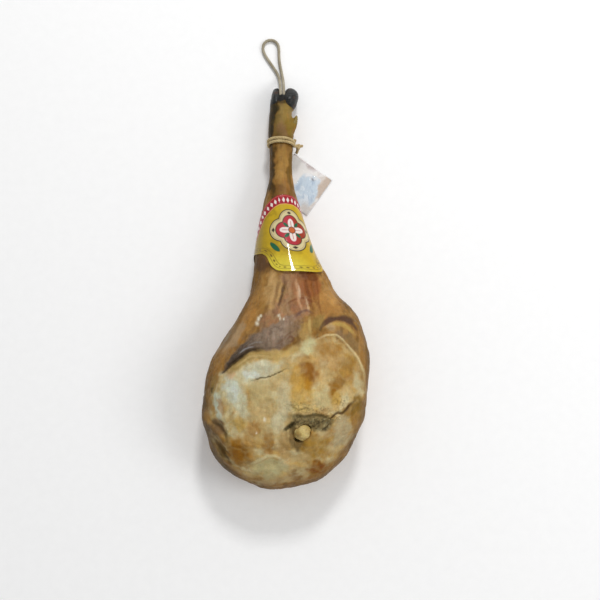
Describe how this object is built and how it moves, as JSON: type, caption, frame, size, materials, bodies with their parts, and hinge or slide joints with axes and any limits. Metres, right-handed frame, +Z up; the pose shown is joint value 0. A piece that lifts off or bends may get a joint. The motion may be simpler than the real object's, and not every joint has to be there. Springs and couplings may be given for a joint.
{
  "type": "cured ham",
  "caption": "Whole bone-in cured ham with its foot, lying flesh side up, with a paper band, ankle twine, hanging loop and a tag in a clear sachet.",
  "frame": {"origin": "on the surface the ham lies on, under the middle of the ham", "axes": "+Y along the leg to the toes, +Z up out of the flesh side, +X to the right seen from above with the toes up"},
  "size_m": [0.2922, 0.8273, 0.1548],
  "materials": {
    "cured_ham": "golden-brown cured rind and dry, greasy flesh and lard, satin",
    "bone": "dull yellow-beige bone",
    "band_paper": "glossy coated paper",
    "twine": "natural twisted twine, matte",
    "sachet": "clear film over a printed leaflet"
  },
  "bodies": {
    "root": {"ham": "cured_ham", "femur_head": "bone", "label_band": "band_paper", "ankle_twine": "twine", "hanging_loop": "twine", "tag_sachet": "sachet"}
  },
  "joints": []
}
